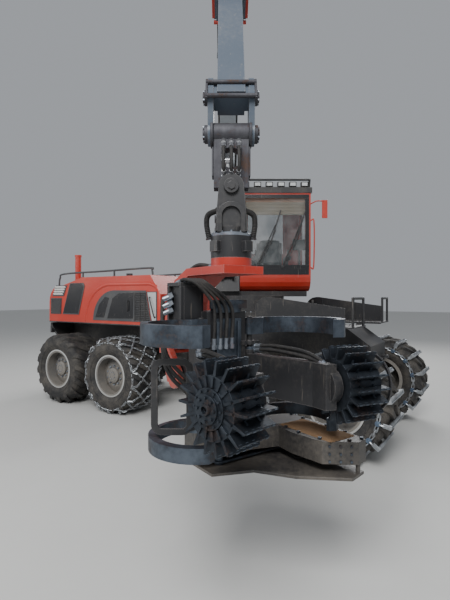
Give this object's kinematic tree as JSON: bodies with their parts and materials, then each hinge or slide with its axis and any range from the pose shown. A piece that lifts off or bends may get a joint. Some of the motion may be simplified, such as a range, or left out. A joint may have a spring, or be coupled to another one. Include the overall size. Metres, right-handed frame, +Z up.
{
  "type": "forestry harvester",
  "caption": "Wheeled forestry harvester: articulated frame on rocking bogies, cab and two-part crane on one turntable, with a hanging head that fells, feeds and cuts stems.",
  "frame": {"origin": "on the ground at the middle of the machine's box, wheels standing on z = 0", "axes": "+X forward, +Y to the machine's left, +Z up"},
  "size_m": [7.6813, 6.4197, 6.7299],
  "materials": {
    "red_paint": "semi-gloss, worn",
    "black_paint": "satin",
    "dark_panel": "satin",
    "cast_iron": "rough",
    "tyre_rubber": "matte, dusty",
    "rim_grey": "satin",
    "glass": "clear",
    "seat_frame": "matte",
    "fabric": "woven",
    "crane_grey": "satin, worn",
    "boom_blue": "satin, worn",
    "worn_steel": "worn bright and rusty",
    "chrome_rod": "polished"
  },
  "bodies": {
    "rear_frame": {"rear_chassis": "black_paint", "rear_bumper": "black_paint", "engine_block": "cast_iron"},
    "hood": {"hood_shell": "red_paint", "hood_fittings": "dark_panel"},
    "front_frame": {"front_chassis": "black_paint", "fender_decks": "black_paint"},
    "bogie_front_left": {"bogie_front_left": "black_paint"},
    "bogie_front_right": {"bogie_front_right": "black_paint"},
    "bogie_rear_left": {"bogie_rear_left": "black_paint"},
    "bogie_rear_right": {"bogie_rear_right": "black_paint"},
    "wheel_fl1": {"tyre_fl1": "tyre_rubber", "rim_fl1": "rim_grey"},
    "wheel_fl2": {"tyre_fl2": "tyre_rubber", "rim_fl2": "rim_grey"},
    "wheel_fr1": {"tyre_fr1": "tyre_rubber", "rim_fr1": "rim_grey"},
    "wheel_fr2": {"tyre_fr2": "tyre_rubber", "rim_fr2": "rim_grey"},
    "wheel_rl1": {"tyre_rl1": "tyre_rubber", "rim_rl1": "rim_grey"},
    "wheel_rl2": {"tyre_rl2": "tyre_rubber", "rim_rl2": "rim_grey"},
    "wheel_rr1": {"tyre_rr1": "tyre_rubber", "rim_rr1": "rim_grey"},
    "wheel_rr2": {"tyre_rr2": "tyre_rubber", "rim_rr2": "rim_grey"},
    "upper": {"crane_base": "black_paint", "cab_shell": "red_paint", "cab_roof": "black_paint", "cab_glass": "glass", "seat_base": "seat_frame", "seat_pads": "fabric"},
    "door": {"cab_door": "red_paint", "door_glass": "glass"},
    "main_boom": {"main_boom": "crane_grey"},
    "outer_boom": {"outer_boom": "boom_blue"},
    "extension": {"extension_boom": "boom_blue"},
    "link_upper": {"link_upper": "red_paint"},
    "link_lower": {"link_lower": "worn_steel", "rotator": "black_paint"},
    "tilt_frame": {"tilt_frame": "red_paint"},
    "head": {"head_frame": "black_paint"},
    "feed_arm_left": {"feed_arm_left": "black_paint"},
    "feed_arm_right": {"feed_arm_right": "black_paint"},
    "feed_roller_left": {"feed_roller_left": "worn_steel"},
    "feed_roller_right": {"feed_roller_right": "worn_steel"},
    "top_knife_left": {"top_knife_left": "worn_steel"},
    "top_knife_right": {"top_knife_right": "worn_steel"},
    "low_knife_left": {"low_knife_left": "worn_steel"},
    "low_knife_right": {"low_knife_right": "worn_steel"},
    "saw_bar": {"saw_bar": "worn_steel"},
    "lift_barrel": {"lift_barrel": "black_paint"},
    "lift_rod": {"lift_rod": "chrome_rod"},
    "jib_barrel": {"jib_barrel": "black_paint"},
    "jib_rod": {"jib_rod": "chrome_rod"},
    "steer_barrel_left": {"steer_barrel_left": "black_paint"},
    "steer_rod_left": {"steer_rod_left": "chrome_rod"},
    "steer_barrel_right": {"steer_barrel_right": "black_paint"},
    "steer_rod_right": {"steer_rod_right": "chrome_rod"}
  },
  "joints": [
    {"name": "steer", "type": "hinge", "parent": "rear_frame", "child": "front_frame", "pos_m": [-0.28, 1.75, 1.1], "axis": [0, 0, 1], "range_deg": [-40, 40]},
    {"name": "hood_lift", "type": "hinge", "parent": "rear_frame", "child": "hood", "pos_m": [-3.71, 1.75, 1.56], "axis": [0, -1, 0], "range_deg": [0, 55]},
    {"name": "bogie_front_left_rock", "type": "hinge", "parent": "front_frame", "child": "bogie_front_left", "pos_m": [1.92, 2.35, 0.8], "axis": [0, -1, 0], "range_deg": [-15, 15]},
    {"name": "bogie_rear_left_rock", "type": "hinge", "parent": "rear_frame", "child": "bogie_rear_left", "pos_m": [-2.13, 2.35, 0.775], "axis": [0, -1, 0], "range_deg": [-15, 15]},
    {"name": "bogie_front_right_rock", "type": "hinge", "parent": "front_frame", "child": "bogie_front_right", "pos_m": [1.92, 1.15, 0.8], "axis": [0, -1, 0], "range_deg": [-15, 15]},
    {"name": "bogie_rear_right_rock", "type": "hinge", "parent": "rear_frame", "child": "bogie_rear_right", "pos_m": [-2.13, 1.15, 0.775], "axis": [0, -1, 0], "range_deg": [-15, 15]},
    {"name": "wheel_fl1_spin", "type": "hinge", "parent": "bogie_front_left", "child": "wheel_fl1", "pos_m": [2.645, 2.85, 0.69], "axis": [0, 1, 0], "continuous": true},
    {"name": "wheel_fl2_spin", "type": "hinge", "parent": "bogie_front_left", "child": "wheel_fl2", "pos_m": [1.195, 2.85, 0.69], "axis": [0, 1, 0], "continuous": true},
    {"name": "wheel_fr1_spin", "type": "hinge", "parent": "bogie_front_right", "child": "wheel_fr1", "pos_m": [2.645, 0.65, 0.69], "axis": [0, 1, 0], "continuous": true},
    {"name": "wheel_fr2_spin", "type": "hinge", "parent": "bogie_front_right", "child": "wheel_fr2", "pos_m": [1.195, 0.65, 0.69], "axis": [0, 1, 0], "continuous": true},
    {"name": "wheel_rl1_spin", "type": "hinge", "parent": "bogie_rear_left", "child": "wheel_rl1", "pos_m": [-1.405, 2.85, 0.665], "axis": [0, 1, 0], "continuous": true},
    {"name": "wheel_rl2_spin", "type": "hinge", "parent": "bogie_rear_left", "child": "wheel_rl2", "pos_m": [-2.855, 2.85, 0.665], "axis": [0, 1, 0], "continuous": true},
    {"name": "wheel_rr1_spin", "type": "hinge", "parent": "bogie_rear_right", "child": "wheel_rr1", "pos_m": [-1.405, 0.65, 0.665], "axis": [0, 1, 0], "continuous": true},
    {"name": "wheel_rr2_spin", "type": "hinge", "parent": "bogie_rear_right", "child": "wheel_rr2", "pos_m": [-2.855, 0.65, 0.665], "axis": [0, 1, 0], "continuous": true},
    {"name": "slew", "type": "hinge", "parent": "front_frame", "child": "upper", "pos_m": [0.67, 1.75, 1.8], "axis": [0, 0, 1], "range_deg": [-33, 147]},
    {"name": "cab_door_swing", "type": "hinge", "parent": "upper", "child": "door", "pos_m": [1.16511, 2.78695, 3], "axis": [0, 0, 1], "range_deg": [0, 80]},
    {"name": "lift", "type": "hinge", "parent": "upper", "child": "main_boom", "pos_m": [0.30098, 1.51036, 3.42], "axis": [0.8387, 0.5446, 0], "range_deg": [-30, 30]},
    {"name": "jib", "type": "hinge", "parent": "main_boom", "child": "outer_boom", "pos_m": [1.86335, -0.89547, 6.34934], "axis": [-0.8387, -0.5446, 0], "range_deg": [-15, 95]},
    {"name": "extend", "type": "slide", "parent": "outer_boom", "child": "extension", "axis": [0.264, -0.4066, -0.8746], "range_m": [-1.04, 0.4]},
    {"name": "link_swing", "type": "hinge", "parent": "extension", "child": "link_upper", "pos_m": [2.82184, -2.37141, 3.17447], "axis": [0.8387, 0.5446, 0], "range_deg": [-35, 70]},
    {"name": "link_sway", "type": "hinge", "parent": "link_upper", "child": "link_lower", "pos_m": [2.82184, -2.37141, 2.79447], "axis": [0.5446, -0.8387, 0], "range_deg": [-25, 25]},
    {"name": "rotator_turn", "type": "hinge", "parent": "link_lower", "child": "tilt_frame", "pos_m": [2.82184, -2.37141, 2.31447], "axis": [0, 0, 1], "continuous": true},
    {"name": "head_tilt", "type": "hinge", "parent": "tilt_frame", "child": "head", "pos_m": [2.4046, -2.20284, 1.44997], "axis": [0.3746, 0.9272, 0], "range_deg": [0, 95]},
    {"name": "feed_arms", "type": "hinge", "parent": "head", "child": "feed_arm_left", "pos_m": [2.84487, -2.15422, 1.49997], "axis": [0, 0, -1], "range_deg": [-8, 16]},
    {"name": "feed_arm_right_swing", "type": "hinge", "parent": "head", "child": "feed_arm_right", "pos_m": [2.68754, -2.54364, 1.49997], "axis": [0, 0, 1], "range_deg": [-8, 16]},
    {"name": "feed_rollers", "type": "hinge", "parent": "feed_arm_left", "child": "feed_roller_left", "pos_m": [3.57463, -2.16325, 1.49997], "axis": [0.5446, 0.8387, 0], "continuous": true},
    {"name": "feed_roller_right_spin", "type": "hinge", "parent": "feed_arm_right", "child": "feed_roller_right", "pos_m": [3.21875, -3.04408, 1.49997], "axis": [-0.1908, -0.9816, 0], "continuous": true},
    {"name": "top_knives", "type": "hinge", "parent": "head", "child": "top_knife_left", "pos_m": [2.84487, -2.15422, 1.83997], "axis": [0, 0, -1], "range_deg": [-6, 40]},
    {"name": "top_knife_right_swing", "type": "hinge", "parent": "head", "child": "top_knife_right", "pos_m": [2.68754, -2.54364, 1.83997], "axis": [0, 0, 1], "range_deg": [-6, 40]},
    {"name": "low_knives", "type": "hinge", "parent": "head", "child": "low_knife_left", "pos_m": [2.84487, -2.15422, 1.19997], "axis": [0, 0, -1], "range_deg": [-6, 30]},
    {"name": "low_knife_right_swing", "type": "hinge", "parent": "head", "child": "low_knife_right", "pos_m": [2.68754, -2.54364, 1.19997], "axis": [0, 0, 1], "range_deg": [-6, 30]},
    {"name": "saw_swing", "type": "hinge", "parent": "head", "child": "saw_bar", "pos_m": [2.74373, -2.40456, 0.91197], "axis": [0, 0, -1], "range_deg": [0, 110]},
    {"name": "lift_barrel_pivot", "type": "hinge", "parent": "upper", "child": "lift_barrel", "pos_m": [0.49161, 1.21682, 2.44], "axis": [0.8387, 0.5446, 0], "range_deg": [-25, 25]},
    {"name": "lift_rod_slide", "type": "slide", "parent": "lift_barrel", "child": "lift_rod", "axis": [0.2186, -0.3366, 0.9159], "range_m": [-0.45, 0.45]},
    {"name": "jib_barrel_pivot", "type": "hinge", "parent": "main_boom", "child": "jib_barrel", "pos_m": [1.07196, 0.32316, 5.3229], "axis": [-0.8387, -0.5446, 0], "range_deg": [-15, 15]},
    {"name": "jib_rod_slide", "type": "slide", "parent": "jib_barrel", "child": "jib_rod", "axis": [0.3942, -0.6069, 0.6901], "range_m": [-0.6, 0.6]},
    {"name": "steer_barrel_left_pivot", "type": "hinge", "parent": "rear_frame", "child": "steer_barrel_left", "pos_m": [-1.23, 2.23, 1.1], "axis": [0, 0, 1], "range_deg": [-12, 12]},
    {"name": "steer_rod_left_slide", "type": "slide", "parent": "steer_barrel_left", "child": "steer_rod_left", "axis": [0.9991, -0.0434, 0], "range_m": [-0.45, 0.45]},
    {"name": "steer_barrel_right_pivot", "type": "hinge", "parent": "rear_frame", "child": "steer_barrel_right", "pos_m": [-1.23, 1.27, 1.1], "axis": [0, 0, 1], "range_deg": [-12, 12]},
    {"name": "steer_rod_right_slide", "type": "slide", "parent": "steer_barrel_right", "child": "steer_rod_right", "axis": [0.9991, 0.0434, 0], "range_m": [-0.45, 0.45]}
  ],
  "couplings": [
    {"joint": "feed_arm_right_swing", "follows": "feed_arms", "ratio": 1},
    {"joint": "feed_roller_right_spin", "follows": "feed_rollers", "ratio": -1},
    {"joint": "top_knife_right_swing", "follows": "top_knives", "ratio": 1},
    {"joint": "low_knife_right_swing", "follows": "low_knives", "ratio": 1},
    {"joint": "lift_barrel_pivot", "follows": "lift", "ratio": 0.5907},
    {"joint": "lift_rod_slide", "follows": "lift", "m_per_rad": -0.705},
    {"joint": "jib_barrel_pivot", "follows": "jib", "ratio": -0.0371},
    {"joint": "jib_rod_slide", "follows": "jib", "m_per_rad": -0.2803},
    {"joint": "steer_barrel_left_pivot", "follows": "steer", "ratio": 0.1239},
    {"joint": "steer_rod_left_slide", "follows": "steer", "m_per_rad": -0.4157},
    {"joint": "steer_barrel_right_pivot", "follows": "steer", "ratio": 0.1239},
    {"joint": "steer_rod_right_slide", "follows": "steer", "m_per_rad": 0.4157}
  ]
}
